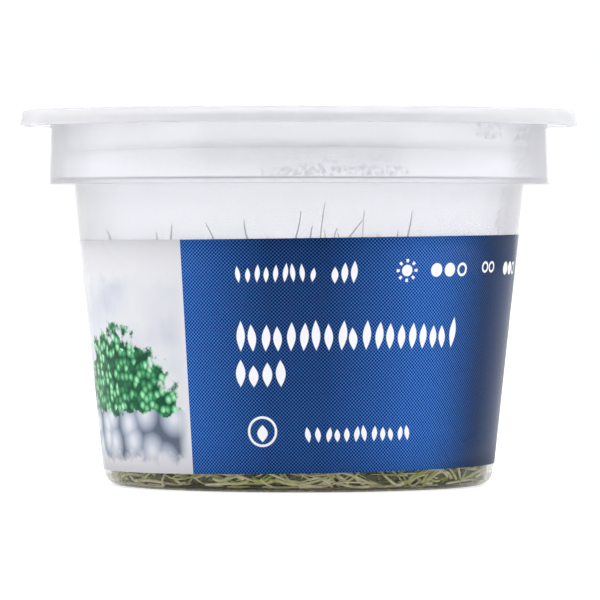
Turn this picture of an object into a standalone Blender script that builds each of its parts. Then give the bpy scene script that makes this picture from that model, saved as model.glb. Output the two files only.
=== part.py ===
"""Potted dwarf hairgrass: grass tufts on a mat of roots in a clear plastic cup with a press-on lid and a label.

Run in Blender 4.5: blender --background --python part.py
Metres, +Z up. The origin is the middle of the foot ring, on the surface that the cup stands on.
-Y is the front. An angle round the cup is 0 at the front and grows towards +X.
"""

import math
import random

import bmesh
import bpy
from mathutils import Matrix, Vector, noise

MM = 0.001

# Driving dimensions
LID_DIAMETER = 95.0 * MM
TOTAL_HEIGHT = 63.8 * MM
DRAFT = math.radians(6.07)  # slope of the cup's wall
FOOT_RADIUS = 30.6 * MM  # outer edge of the flat ring that the cup stands on
WALL = 0.8 * MM
GAP = 0.3 * MM  # between pieces that touch
TURN_STEPS = 52  # facets round the cup

# Cup
HEEL_RADIUS = 2.6 * MM  # rounded edge between the foot and the wall
FOOT_RING_WIDTH = 3.2 * MM
FOOT_RECESS = 0.8 * MM
SHOULDER_Z = 51.3 * MM  # the wall steps out into the collar here
COLLAR_RADIUS = 42.8 * MM
COLLAR_TAPER = 0.35 * MM  # the collar is this much narrower at its top
COLLAR_EDGE = 0.6 * MM  # radius of its lower edge
FLANGE_RADIUS = 46.1 * MM
FLANGE_TOP = 62.7 * MM
FLANGE_THICKNESS = 0.8 * MM

# Lid
LID_WALL = 0.7 * MM
LID_EDGE = 0.3 * MM  # chamfer of its rim
SKIRT_DROP = 2.6 * MM  # height of the skirt
SKIRT_TAPER = 0.43 * MM  # the skirt flares by this much towards its bottom
BEAD_RADIUS = 45.9 * MM  # the clip bead grips under the cup's flange
BEAD_HEIGHT = 0.3 * MM
PLUG_CLEARANCE = 0.45 * MM
PANEL_TOP = 57.7 * MM  # floor of the round recess in the lid

# Label
LABEL_BOTTOM = 3.25 * MM
LABEL_TOP = 42.2 * MM
LABEL_SKEW = 0.5 * MM  # it is stuck on a little crooked, higher at +X
LABEL_THICKNESS = 0.25 * MM
LABEL_GAP = 0.25 * MM
LABEL_COLUMNS = 48  # one for each facet of the cup that it covers

# Plants
MAT_TOP = 6.0 * MM
MAT_SWELL = 1.6 * MM  # height of the tangle between the tufts
MAT_RINGS = 7
MAT_STEPS = 42
TUFT_RINGS = ((0.0, 1), (13.0 * MM, 6), (26.3 * MM, 12))  # radius of the ring, tufts on it
TUFT_SEAT = 2.6 * MM  # radius of the hollow in the mat under each tuft
CROWN_RADIUS = 1.3 * MM
BLADE_WIDTH = 0.75 * MM
BLADE_STEPS = 4
BLADE_SPREAD = 4.9 * MM
CANOPY_TOP = 39.5 * MM
TALLEST_TIP = 48.0 * MM  # the front tufts reach above the label
SEED = 7


def wall_radius(z):
    """Outer radius of the cup's sloping wall at height z."""
    base = FOOT_RADIUS + HEEL_RADIUS * (1 - math.sin(DRAFT)) / math.cos(DRAFT)
    return base + z * math.tan(DRAFT)


def around(angle, radius, z):
    """The point at that angle round the cup, radius and height."""
    return Vector((radius * math.sin(angle), -radius * math.cos(angle), z))


def arc(centre, radius, start, end, steps):
    """Points (r, z) of an arc between two angles in degrees."""
    points = []
    for i in range(steps + 1):
        angle = math.radians(start + (end - start) * i / steps)
        points.append((centre[0] + radius * math.cos(angle), centre[1] + radius * math.sin(angle)))
    return points


def clear_scene():
    for obj in list(bpy.data.objects):
        bpy.data.objects.remove(obj, do_unlink=True)


def make_collection(name):
    collection = bpy.data.collections.new(name)
    bpy.context.scene.collection.children.link(collection)
    return collection


def make_material(name, colour, roughness, transmission=0.0):
    """A plain non-metal; transmission is the share of light that passes through it."""
    material = bpy.data.materials.new(name)
    material.use_nodes = True
    shader = material.node_tree.nodes["Principled BSDF"]
    shader.inputs["Base Color"].default_value = (*colour, 1.0)
    shader.inputs["Roughness"].default_value = roughness
    shader.inputs["Metallic"].default_value = 0.0
    shader.inputs["Transmission Weight"].default_value = transmission
    return material


def add_object(name, mesh, collection, material):
    obj = bpy.data.objects.new(name, mesh)
    collection.objects.link(obj)
    mesh.materials.append(material)
    return obj


def turned(name, profile, collection, material):
    """A solid turned about Z from a profile (r, z) that runs from the axis, out, down and back to it."""
    mesh = bpy.data.meshes.new(name)
    points = [(r, 0.0, z) for r, z in profile]
    mesh.from_pydata(points, [(i, i + 1) for i in range(len(points) - 1)], [])
    obj = add_object(name, mesh, collection, material)
    screw = obj.modifiers.new("Turn", "SCREW")
    screw.axis = "Z"
    screw.steps = TURN_STEPS
    screw.render_steps = TURN_STEPS
    screw.use_merge_vertices = True
    screw.merge_threshold = 0.00001
    screw.use_smooth_shade = True
    return obj


def inner_heel():
    """Centre (r, z) and radius of the rounded edge inside the cup, between its floor and its wall."""
    radius = HEEL_RADIUS - WALL
    z = FOOT_RECESS + WALL + radius
    return (FOOT_RADIUS + (z - HEEL_RADIUS) * math.tan(DRAFT), z), radius


def build_cup(collection, material):
    """Up the inside from the floor, over the collar and the flange, and down the outside to the foot."""
    slope = math.degrees(DRAFT)
    collar_top = COLLAR_RADIUS - COLLAR_TAPER
    ledge = SHOULDER_Z + WALL
    inner_centre, inner_radius = inner_heel()
    edge_centre = (COLLAR_RADIUS - COLLAR_EDGE, SHOULDER_Z + COLLAR_EDGE)
    inside = [(0.0, FOOT_RECESS + WALL)]
    inside += arc(inner_centre, inner_radius, -90, -slope, 3)
    inside += [
        (wall_radius(ledge) - WALL / math.cos(DRAFT), ledge),
        (COLLAR_RADIUS - WALL, ledge),
        (collar_top - WALL, FLANGE_TOP),
    ]
    flange = [
        (FLANGE_RADIUS, FLANGE_TOP),
        (FLANGE_RADIUS, FLANGE_TOP - FLANGE_THICKNESS),
        (collar_top, FLANGE_TOP - FLANGE_THICKNESS),
    ]
    outside = arc(edge_centre, COLLAR_EDGE, 0, -90, 3)
    outside += [(wall_radius(SHOULDER_Z), SHOULDER_Z)]
    outside += arc((FOOT_RADIUS, HEEL_RADIUS), HEEL_RADIUS, -slope, -90, 4)
    foot = [
        (FOOT_RADIUS - FOOT_RING_WIDTH, 0.0),
        (FOOT_RADIUS - FOOT_RING_WIDTH - FOOT_RECESS, FOOT_RECESS),
        (0.0, FOOT_RECESS),
    ]
    return turned("cup", inside + flange + outside + foot, collection, material)


def build_lid(collection, material):
    """Over the top from the middle of the recess, down the skirt, and back along the underside."""
    skirt_bottom = LID_DIAMETER / 2
    skirt_top = skirt_bottom - SKIRT_TAPER
    skirt_z = TOTAL_HEIGHT - SKIRT_DROP
    skirt_inner = FLANGE_RADIUS + 1.2 * GAP
    flange_bottom = FLANGE_TOP - FLANGE_THICKNESS
    plug_outer = COLLAR_RADIUS - COLLAR_TAPER - WALL - PLUG_CLEARANCE
    plug_inner = plug_outer - LID_WALL
    panel_bottom = PANEL_TOP - LID_WALL
    over = [
        (0.0, PANEL_TOP),
        (plug_inner, PANEL_TOP),
        (plug_inner, TOTAL_HEIGHT - LID_EDGE),
        (plug_inner + LID_EDGE, TOTAL_HEIGHT),
        (skirt_top - LID_EDGE, TOTAL_HEIGHT),
        (skirt_top, TOTAL_HEIGHT - LID_EDGE),
        (skirt_bottom, skirt_z),
    ]
    under = [
        (BEAD_RADIUS, skirt_z),
        (BEAD_RADIUS, skirt_z + BEAD_HEIGHT),
        (skirt_inner, flange_bottom),
        (skirt_inner, TOTAL_HEIGHT - LID_WALL),
        (plug_outer, TOTAL_HEIGHT - LID_WALL),
        (plug_outer, panel_bottom + LID_WALL),
        (plug_outer - LID_WALL, panel_bottom),
        (0.0, panel_bottom),
    ]
    return turned("lid", over + under, collection, material)


def build_label(collection, material):
    """A thin strip wrapped round the cup's wall, which leaves a narrow window at the back."""
    mesh = bpy.data.meshes.new("label")
    shape = bmesh.new()
    bmesh.ops.create_grid(shape, x_segments=LABEL_COLUMNS, y_segments=1, size=0.5)
    for vert in shape.verts:
        angle = 2 * math.pi * vert.co.x * LABEL_COLUMNS / TURN_STEPS
        z = LABEL_BOTTOM + (vert.co.y + 0.5) * (LABEL_TOP - LABEL_BOTTOM) + LABEL_SKEW * math.sin(angle)
        vert.co = around(angle, wall_radius(z) + LABEL_GAP / math.cos(DRAFT), z)
    bmesh.ops.recalc_face_normals(shape, faces=shape.faces)
    first = shape.faces[:][0]
    if first.normal.dot(first.calc_center_median()) < 0:
        bmesh.ops.reverse_faces(shape, faces=shape.faces)
    shape.to_mesh(mesh)
    shape.free()
    mesh.shade_smooth()
    label = add_object("label", mesh, collection, material)
    thick = label.modifiers.new("Thickness", "SOLIDIFY")
    thick.thickness = LABEL_THICKNESS
    thick.offset = 1.0
    thick.use_even_offset = True
    return label


def tuft_places():
    """Where the tufts stand: one in the middle and two rings round it."""
    places = []
    for ring, (radius, count) in enumerate(TUFT_RINGS):
        for i in range(count):
            places.append(around(2 * math.pi * (i + 0.5 * ring) / count, radius, 0.0))
    return places


def mat_height(x, y, places):
    """Top of the root mat: a hollow under each tuft and a swelling tangle between them."""
    away = min(math.hypot(x - place.x, y - place.y) for place in places)
    rise = min(max((away - TUFT_SEAT) / TUFT_SEAT, 0.0), 1.0)
    lumps = 0.75 + 0.5 * noise.noise(Vector((x, y, 0.0)) / (5 * MM))
    return MAT_TOP + MAT_SWELL * rise * rise * (3 - 2 * rise) * lumps


def build_root_mat(collection, material, places):
    """The tangle of roots and runners that fills the bottom of the cup, as one lumpy disc."""
    slope = math.degrees(DRAFT)
    heel_centre, heel_radius = inner_heel()
    edge_z = MAT_TOP - 0.7 * MM
    side = wall_radius(edge_z) - (WALL + GAP) / math.cos(DRAFT)
    top_radius = side - 0.8 * MM
    profile = [(i * top_radius / MAT_RINGS, MAT_TOP) for i in range(MAT_RINGS + 1)]
    profile += [(side, edge_z)]
    profile += arc(heel_centre, heel_radius - GAP, -slope, -90, 3)
    profile += [(0.0, FOOT_RECESS + WALL + GAP)]
    mesh = bpy.data.meshes.new("root_mat")
    shape = bmesh.new()
    verts = [shape.verts.new((r, 0.0, z)) for r, z in profile]
    edges = [shape.edges.new(pair) for pair in zip(verts, verts[1:])]
    bmesh.ops.spin(
        shape, geom=verts + edges, cent=(0, 0, 0), axis=(0, 0, 1), dvec=(0, 0, 0),
        angle=2 * math.pi, steps=MAT_STEPS, use_merge=True, use_duplicate=False,
    )
    bmesh.ops.remove_doubles(shape, verts=shape.verts, dist=0.00001)
    for vert in shape.verts:
        if abs(vert.co.z - MAT_TOP) < 0.00001:
            vert.co.z = mat_height(vert.co.x, vert.co.y, places)
    bmesh.ops.recalc_face_normals(shape, faces=shape.faces)
    shape.to_mesh(mesh)
    shape.free()
    mesh.shade_smooth()
    return add_object("root_mat", mesh, collection, material)


def grow_blade(shape, face, height, spread, bow):
    """Draws one face of the crown out into a tapering blade that rises by the given height."""
    start = face.calc_center_median()
    flat = Vector((face.normal.x, face.normal.y, 0.0)).normalized()
    heading = face.normal.copy()
    width = math.sqrt(face.calc_area())
    for step in range(1, BLADE_STEPS + 1):
        t = step / BLADE_STEPS
        outward = spread * t ** 0.8 * (1 - bow * t * t)
        target = start + Vector((0, 0, height * t)) + flat * outward
        face = bmesh.ops.extrude_discrete_faces(shape, faces=[face])["faces"][0]
        centre = face.calc_center_median()
        new_heading = (target - centre).normalized()
        turn = heading.rotation_difference(new_heading).to_matrix()
        bmesh.ops.rotate(shape, verts=face.verts, cent=centre, matrix=turn)
        new_width = BLADE_WIDTH * (1 - 0.9 * t ** 1.5)
        size = new_width / width
        bmesh.ops.scale(shape, verts=face.verts, vec=(size, size, size), space=Matrix.Translation(-centre))
        bmesh.ops.translate(shape, verts=face.verts, vec=target - centre)
        width = new_width
        heading = new_heading


def build_tuft(name, place, tip, collection, material, rng):
    """One plantlet: a small crown with ten thin blades drawn out of it, as one solid."""
    mesh = bpy.data.meshes.new(name)
    shape = bmesh.new()
    bmesh.ops.create_icosphere(shape, subdivisions=1, radius=CROWN_RADIUS)
    turn = Matrix.Rotation(rng.uniform(0, 2 * math.pi), 4, "Z")
    bmesh.ops.transform(shape, matrix=turn, verts=shape.verts)
    lift = MAT_TOP + GAP + CROWN_RADIUS
    rise = tip - lift - CROWN_RADIUS
    for face in [f for f in shape.faces if f.normal.z > 0.1]:
        outer = face.normal.z < 0.5
        height = rise * (rng.uniform(0.6, 0.85) if outer else rng.uniform(0.8, 1.0))
        spread = BLADE_SPREAD * (rng.uniform(0.75, 1.0) if outer else rng.uniform(0.25, 0.5))
        grow_blade(shape, face, height, spread, rng.uniform(0.1, 0.3))
    highest = max(vert.co.z for vert in shape.verts)
    lean = place.normalized() * math.tan(DRAFT) * place.length / wall_radius(lift)
    for vert in shape.verts:
        share = max(vert.co.z, 0.0) / highest
        vert.co.z += share * (tip - lift - highest)
        vert.co += lean * max(vert.co.z, 0.0)
    bmesh.ops.translate(shape, verts=shape.verts, vec=place + Vector((0, 0, lift)))
    bmesh.ops.recalc_face_normals(shape, faces=shape.faces)
    shape.to_mesh(mesh)
    shape.free()
    return add_object(name, mesh, collection, material)


def build_tufts(collection, material, places):
    """Each tuft has its own height. Those at the front reach above the label."""
    rng = random.Random(SEED)
    for number, place in enumerate(places, 1):
        at_front = place.y < -0.5 * TUFT_RINGS[2][0]
        tip = TALLEST_TIP - rng.uniform(0.0, 4.0) * MM if at_front else CANOPY_TOP + rng.uniform(-3.0, 3.0) * MM
        build_tuft(f"tuft_{number:02d}", place, tip, collection, material, rng)


def main():
    clear_scene()
    pot = make_collection("potted_dwarf_hairgrass")
    cup_plastic = make_material("milky polypropylene", (0.86, 0.86, 0.90), 0.25, 0.6)
    lid_plastic = make_material("milky polypropylene of the lid", (0.88, 0.88, 0.92), 0.3, 0.5)
    label_film = make_material("printed label film", (0.02, 0.09, 0.28), 0.4)
    root_tissue = make_material("pale roots and runners", (0.48, 0.45, 0.26), 0.6)
    blade_tissue = make_material("grass blades", (0.11, 0.22, 0.05), 0.5)
    places = tuft_places()
    build_cup(pot, cup_plastic)
    build_lid(pot, lid_plastic)
    build_label(pot, label_film)
    build_root_mat(pot, root_tissue, places)
    build_tufts(pot, blade_tissue, places)


main()
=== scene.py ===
import math
import random

import bmesh
import bpy
from mathutils import Matrix, Vector, noise
from mathutils.geometry import interpolate_bezier


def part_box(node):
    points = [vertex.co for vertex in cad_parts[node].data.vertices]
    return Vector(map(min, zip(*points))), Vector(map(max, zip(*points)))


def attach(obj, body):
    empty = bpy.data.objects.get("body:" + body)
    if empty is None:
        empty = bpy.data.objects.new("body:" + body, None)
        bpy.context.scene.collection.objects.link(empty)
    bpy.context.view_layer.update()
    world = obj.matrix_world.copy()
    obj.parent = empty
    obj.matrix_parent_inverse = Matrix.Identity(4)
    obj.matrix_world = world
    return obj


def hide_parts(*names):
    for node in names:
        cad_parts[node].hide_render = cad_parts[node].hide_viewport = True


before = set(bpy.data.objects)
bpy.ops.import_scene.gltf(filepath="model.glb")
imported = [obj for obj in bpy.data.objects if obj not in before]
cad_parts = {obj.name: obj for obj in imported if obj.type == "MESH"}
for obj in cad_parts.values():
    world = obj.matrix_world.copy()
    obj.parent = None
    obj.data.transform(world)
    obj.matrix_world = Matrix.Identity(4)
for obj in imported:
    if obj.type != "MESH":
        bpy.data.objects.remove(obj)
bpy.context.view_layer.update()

mm = 0.001
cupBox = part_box("cup")
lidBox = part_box("lid")

# Everything turned stands on the Z axis. -Y is the front, and an angle is 0 there and grows towards +X.
cup = {
    "footRadius": 30.6 * mm,
    "footRing": 3.2 * mm,
    "footRecess": 0.12 * mm,
    "floorTop": 0.4 * mm,
    "heel": 2.6 * mm,
    "draft": math.radians(6.07),
    "wall": 0.8 * mm,
    "ledge": 0.9 * mm,
    "shoulder": 51.3 * mm,
    "collarRadius": 42.8 * mm,
    "collarTaper": 0.35 * mm,
    "collarEdge": 0.04 * mm,
    "flangeThickness": 0.8 * mm,
    "flangeRadius": cupBox[1].x,
    "top": cupBox[1].z,
    "steps": 160,
}


def wallRadius(z):  # outer radius of the sloping wall
    base = cup["footRadius"] + cup["heel"] * (1 - math.sin(cup["draft"])) / math.cos(cup["draft"])
    return base + z * math.tan(cup["draft"])


def innerRadius(z):  # inner radius of the wall, drawn in where it rounds into the floor
    heel = cup["heel"] - cup["wall"]
    sunk = min(max(cup["floorTop"] + heel - z, 0.0), heel)
    roundOff = heel - math.sqrt(heel * heel - sunk * sunk)
    return wallRadius(z) - cup["wall"] / math.cos(cup["draft"]) - roundOff


def around(angle, radius, z):
    return Vector((radius * math.sin(angle), -radius * math.cos(angle), z))


def linear(hexColour):  # an sRGB hex value as linear RGBA
    values = [int(hexColour[i:i + 2], 16) / 255 for i in (1, 3, 5)]
    return (*[v / 12.92 if v <= 0.04045 else ((v + 0.055) / 1.055) ** 2.4 for v in values], 1.0)


colourMix = {"data_type": "RGBA"}  # the settings of a Mix node that blends colours


def addNode(tree, kind, settings=None, inputs=None):
    # Adds a node. An input is set to a value, or linked to an output or to a node's first output.
    node = tree.nodes.new("ShaderNode" + kind)
    for name, value in (settings or {}).items():
        setattr(node, name, value)
    for name, value in (inputs or {}).items():
        if isinstance(value, bpy.types.Node):
            value = value.outputs[0]
        if isinstance(value, bpy.types.NodeSocket):
            tree.links.new(value, node.inputs[name])
        else:
            node.inputs[name].default_value = value
    return node


def newMaterial(name):
    material = bpy.data.materials.new(name)
    material.use_nodes = True
    tree = material.node_tree
    tree.nodes.clear()
    return material, tree


def surfaced(material, shader):
    addNode(material.node_tree, "OutputMaterial", None, {"Surface": shader})
    return material


def paintRamp(ramp, colours):  # colours are (place, hex)
    stops = ramp.color_ramp.elements
    while len(stops) < len(colours):
        stops.new(0.5)
    for stop, (place, colour) in zip(stops, colours):
        stop.position = place
        stop.color = linear(colour)
    return ramp


def addPiece(name, shape, material):
    mesh = bpy.data.meshes.new(name)
    shape.to_mesh(mesh)
    shape.free()
    mesh.shade_smooth()
    mesh.materials.append(material)
    piece = bpy.data.objects.new(name, mesh)
    bpy.context.scene.collection.objects.link(piece)
    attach(piece, "root")
    return piece


# What is turned gets its profile from corners (radius, height, rounding).
lathe = {
    "arcSteps": 5,
    "support": 0.12,  # how far past an arc its support point stands, as a share of the rounding
    "straight": math.radians(88),  # half the angle of a corner that is left as it is
    "weld": 0.005 * mm,
}


def roundedProfile(corners):
    # Each rounded corner becomes an arc with a support point at either end.
    points = [Vector((r, z)) for r, z, rounding in corners]
    result = [points[0]]
    for i in range(1, len(points) - 1):
        here, rounding = points[i], corners[i][2]
        back = (points[i - 1] - here).normalized()
        ahead = (points[i + 1] - here).normalized()
        half = back.angle(ahead) / 2
        if rounding <= 0 or half > lathe["straight"]:
            result.append(here)
            continue
        reach = rounding / math.tan(half)
        centre = here + (back + ahead).normalized() * (rounding / math.sin(half))
        start, end = here + back * reach - centre, here + ahead * reach - centre
        turn = start.angle_signed(end)
        support = lathe["support"] * rounding
        result.append(centre + start + back * support)
        for step in range(lathe["arcSteps"] + 1):
            angle = turn * step / lathe["arcSteps"]
            cosine, sine = math.cos(angle), math.sin(-angle)
            x, y = start.x * cosine - start.y * sine, start.x * sine + start.y * cosine
            result.append(centre + Vector((x, y)))
        result.append(centre + end + ahead * support)
    result.append(points[-1])
    return result


def turned(corners, steps):
    shape = bmesh.new()
    verts = [shape.verts.new((p.x, 0.0, p.y)) for p in roundedProfile(corners)]
    edges = [shape.edges.new(pair) for pair in zip(verts, verts[1:])]
    bmesh.ops.spin(
        shape, geom=verts + edges, axis=(0, 0, 1), angle=2 * math.pi, steps=steps, use_merge=True,
    )
    bmesh.ops.remove_doubles(shape, verts=shape.verts, dist=lathe["weld"])
    bmesh.ops.recalc_face_normals(shape, faces=shape.faces)
    return shape


# Studio: soft boxes at both sides of the cup, behind it and above it, on a pale floor. Luminance 1 is
# the white of the page.
studio = {
    "floor": "#B4B4B4",
    "floorSize": 6.0,
    "floorDrop": 0.05 * mm,
    "floorGlow": 0.5,
    "floorPage": 0.72,
    "page": 1.02,
    "room": 0.8,
    "front": 0.5,  # the room is darker behind the camera
    "frontEdge": (-0.85, -0.65),  # between these directions along Y the room brightens
    "distance": 2.0,
    "lift": 0.02,
    "boxes": (  # name, angle in degrees, width, height, luminance
        ("leftBox", -79.5, 2.52, 1.9, 1.6),
        ("rightBox", 79.5, 2.5, 1.9, 1.57),
        ("backBox", 180, 1.25, 1.9, 0.97),
    ),
    "topBox": (2.4, 2.2, 1.7),  # height, size, luminance
}


def buildStudio():
    shape = bmesh.new()
    bmesh.ops.create_grid(shape, x_segments=1, y_segments=1, size=studio["floorSize"])
    mesh = bpy.data.meshes.new("floor")
    shape.to_mesh(mesh)
    shape.free()
    floor = bpy.data.objects.new("floor", mesh)
    floor.location.z = -studio["floorDrop"]
    bpy.context.scene.collection.objects.link(floor)
    # Matt paint shows no mirror image of the cup, and a faint glow makes it as white as the page.
    material, tree = newMaterial("matte white studio floor")
    path = addNode(tree, "LightPath")
    glow = addNode(tree, "MapRange", None, {
        "Value": path.outputs["Is Camera Ray"],
        "To Min": studio["floorGlow"], "To Max": studio["floorPage"],
    })
    paint = addNode(tree, "BsdfPrincipled", None, {
        "Base Color": linear(studio["floor"]), "Roughness": 0.9,
        "Emission Color": linear("#FFFFFF"), "Emission Strength": glow,
    })
    mesh.materials.append(surfaced(material, paint))

    world = bpy.data.worlds.new("studio room")
    bpy.context.scene.world = world
    world.use_nodes = True
    tree = world.node_tree
    tree.nodes.clear()
    path = addNode(tree, "LightPath")
    coords = addNode(tree, "TexCoord")
    direction = addNode(tree, "SeparateXYZ", None, {"Vector": coords.outputs["Generated"]})
    dark, bright = studio["frontEdge"]
    room = addNode(tree, "MapRange", None, {
        "Value": direction.outputs["Y"], "From Min": dark, "From Max": bright,
        "To Min": studio["front"], "To Max": studio["room"],
    })
    level = addNode(tree, "MapRange", None, {
        "Value": path.outputs["Is Camera Ray"], "To Min": room, "To Max": studio["page"],
    })
    light = addNode(tree, "Background", None, {
        "Color": linear("#FFFFFF"), "Strength": level,
    })
    addNode(tree, "OutputWorld", None, {"Surface": light})

    for name, degrees, width, height, luminance in studio["boxes"]:
        place = around(math.radians(degrees), studio["distance"], height / 2 + studio["lift"])
        addBox(name, place, Vector((0, 0, place.z)), width, height, luminance)
    above, size, luminance = studio["topBox"]
    addBox("topBox", Vector((0, 0, above)), Vector((0, 0, 0)), size, size, luminance)


def addBox(name, place, aim, width, height, luminance):
    lamp = bpy.data.lights.new(name, "AREA")
    lamp.shape = "RECTANGLE"
    lamp.size, lamp.size_y = width, height
    lamp.energy = luminance * math.pi * width * height
    box = bpy.data.objects.new(name, lamp)
    box.location = place
    box.rotation_euler = (place - aim).to_track_quat("Z", "Y").to_euler()
    box.visible_camera = False  # the page behind the cup is the room's own white
    bpy.context.scene.collection.objects.link(box)


# Camera: level with the wall just above the label, and far off, so that circles look nearly straight.
camera = {
    "distance": 990.2 * mm,
    "height": 45.2 * mm,
    "aim": 31.5 * mm,
    "side": 0.22 * mm,
    "lens": 347.4,
    "sensor": 36.0,
    "clip": (0.01, 20.0),
}


def buildCamera():
    lens = bpy.data.cameras.new("camera")
    lens.lens = camera["lens"]
    lens.sensor_width = camera["sensor"]
    lens.clip_start, lens.clip_end = camera["clip"]
    view = bpy.data.objects.new("camera", lens)
    view.location = (camera["side"], -camera["distance"], camera["height"])
    aim = Vector((camera["side"], 0.0, camera["aim"]))
    view.rotation_euler = (view.location - aim).to_track_quat("Z", "Y").to_euler()
    bpy.context.scene.collection.objects.link(view)
    bpy.context.scene.camera = view
    bpy.context.scene.view_settings.view_transform = "Standard"


# Polypropylene, injection moulded without pigment: milky, see-through near its surface, with a satin skin.
plastic = {
    # the edge tint of each grade is painted shade where the wall turns away from the view
    "cup": {"tint": "#F6F6FA", "edgeShadeTint": "#EAEAF1", "roughness": 0.19, "clearness": 0.76},
    "lid": {"tint": "#FCFCFE", "edgeShadeTint": "#FCFCFE", "roughness": 0.61, "clearness": 0.94},
    "panel": {"tint": "#FCFCFE", "edgeShadeTint": "#FCFCFE", "roughness": 0.12, "clearness": 0.93},
    "skinVariation": 0.04,
    "ior": 1.4,
    "flowMarks": 9 * mm,
    "gelFilm": 3 * mm,
    "wetTop": 9 * mm,  # up to here the roots' clear gel wets the wall
    "wetIor": 1.22,
    "wetTint": "#F4F5F2",
    # the wet edge tint is painted shade where the wet wall turns away from the view
    "wetEdgeShadeTint": "#B9BBAE",
    "streaks": 1 * mm,
    # the foot's colours: a painted view of the dark roots through the plastic, and painted shade
    "paintedRootView": ((0.38, "#25240F"), (0.5, "#6A6745"), (0.6, "#BDB691")),
    "paintedRootViewEdge": 0.2 * mm,
    "paintedRootViewClearness": 0.35,
}


def moulded(name, grade):
    # The edge tint is painted shade: the plastic is coloured darker where its skin turns away from the
    # view, where more plastic is looked through. The lid's frosted skin scatters what is behind it, so its
    # rim is an even, soft grey.
    material, tree = newMaterial(name)
    coords = addNode(tree, "TexCoord")
    flow = addNode(tree, "TexNoise", None, {
        "Vector": coords.outputs["Object"], "Scale": 1 / plastic["flowMarks"], "Detail": 1.0,
    })
    skin = addNode(tree, "MapRange", None, {
        "Value": flow, "To Min": grade["roughness"] - plastic["skinVariation"],
        "To Max": grade["roughness"] + plastic["skinVariation"],
    })
    # painted shade: darker towards the edges that turn away from the view
    facing = addNode(tree, "LayerWeight", None, {"Blend": 0.25})
    body = addNode(tree, "Mix", colourMix, {
        0: facing.outputs["Facing"], 6: linear(grade["tint"]), 7: linear(grade["edgeShadeTint"]),
    })
    shader = addNode(tree, "BsdfPrincipled", None, {
        "Base Color": body.outputs[2], "Roughness": skin,
        "IOR": plastic["ior"], "Transmission Weight": grade["clearness"],
    })
    return surfaced(material, shader)


def wetted():
    # The same plastic where gel touches it: the inner skin can't be seen any more, so it looks clear, and
    # painted shade darkens it where it turns away from the view. The foot is seen through edgewise, and is
    # painted with the dark colours of the roots that lie on it: a painted view of them through the
    # plastic, with painted shade.
    material, tree = newMaterial("moulded polypropylene wetted by gel")
    coords = addNode(tree, "TexCoord")
    film = addNode(tree, "TexNoise", None, {
        "Vector": coords.outputs["Object"], "Scale": 1 / plastic["gelFilm"], "Detail": 2.0,
    })
    skin = addNode(tree, "MapRange", None, {"Value": film, "To Max": plastic["skinVariation"]})
    height = addNode(tree, "SeparateXYZ", None, {"Vector": coords.outputs["Object"]})
    clear = addNode(tree, "MapRange", None, {
        "Value": height.outputs["Z"],
        "From Min": cup["floorTop"] - plastic["paintedRootViewEdge"], "From Max": cup["floorTop"],
    })
    streaks = addNode(tree, "TexNoise", None, {
        "Vector": coords.outputs["Object"], "Scale": 1 / plastic["streaks"],
        "Detail": 2.0, "Distortion": 1.5,
    })
    # the foot painted with the roots' dark colours, as painted shade and a painted view through it
    paintedRootView = paintRamp(addNode(tree, "ValToRGB", None, {"Fac": streaks}), plastic["paintedRootView"])
    # painted shade where the wet wall turns away from the view
    facing = addNode(tree, "LayerWeight", None, {"Blend": 0.3})
    wall = addNode(tree, "Mix", colourMix, {
        0: facing.outputs["Facing"], 6: linear(plastic["wetTint"]), 7: linear(plastic["wetEdgeShadeTint"]),
    })
    body = addNode(tree, "Mix", colourMix, {0: clear, 6: paintedRootView, 7: wall.outputs[2]})
    through = addNode(tree, "MapRange", None, {"Value": clear, "To Min": plastic["paintedRootViewClearness"]})
    shader = addNode(tree, "BsdfPrincipled", None, {
        "Base Color": body.outputs[2], "Roughness": skin,
        "IOR": plastic["wetIor"], "Transmission Weight": through,
    })
    return surfaced(material, shader)


def buildCup():
    ledge = cup["shoulder"] + cup["ledge"]
    collarTop = cup["collarRadius"] - cup["collarTaper"]
    flangeBottom = cup["top"] - cup["flangeThickness"]
    wallAcross = cup["wall"] / math.cos(cup["draft"])
    corners = [
        (0, cup["floorTop"], 0),
        (wallRadius(cup["floorTop"]) - wallAcross, cup["floorTop"], cup["heel"] - cup["wall"]),
        (innerRadius(plastic["wetTop"]), plastic["wetTop"], 0),
        (innerRadius(ledge), ledge, 0.15 * mm),
        (cup["collarRadius"] - cup["wall"], ledge, 0.25 * mm),
        (collarTop - cup["wall"], cup["top"], 0.25 * mm),
        (cup["flangeRadius"], cup["top"], 0.08 * mm),
        (cup["flangeRadius"], flangeBottom, 0.08 * mm),
        (collarTop, flangeBottom, 0.4 * mm),
        (cup["collarRadius"], cup["shoulder"], cup["collarEdge"]),
        (wallRadius(cup["shoulder"]), cup["shoulder"], 0.04 * mm),
        (wallRadius(plastic["wetTop"]), plastic["wetTop"], 0),
        (wallRadius(0), 0, cup["heel"]),
        (cup["footRadius"] - cup["footRing"], 0, 0.15 * mm),
        (cup["footRadius"] - cup["footRing"] - cup["footRecess"], cup["footRecess"], 0.15 * mm),
        (0, cup["footRecess"], 0),
    ]
    material = moulded("moulded polypropylene", plastic["cup"])
    piece = addPiece("cupShell", turned(corners, cup["steps"]), material)
    piece.data.materials.append(wetted())
    for face in piece.data.polygons:
        if face.center.z < plastic["wetTop"]:
            face.material_index = 1
    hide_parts("cup")


lid = {
    "wall": 0.7 * mm,
    "skirtTaper": 0.43 * mm,
    "skirtClearance": 0.36 * mm,
    "beadRadius": 45.9 * mm,
    "beadHeight": 0.3 * mm,
    "plugClearance": 0.45 * mm,
    "panelTop": 57.7 * mm,
    "panelWall": 0.55 * mm,
    "panelCrown": 0.6 * mm,  # how far the middle of the recess stands up
    "crownSteps": 6,
    "window": 0.8,  # share of the panel, from its middle, that is smooth instead of frosted
    "radius": lidBox[1].x,
    "top": lidBox[1].z,
    "skirtBottom": 61.2 * mm,
}


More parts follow.
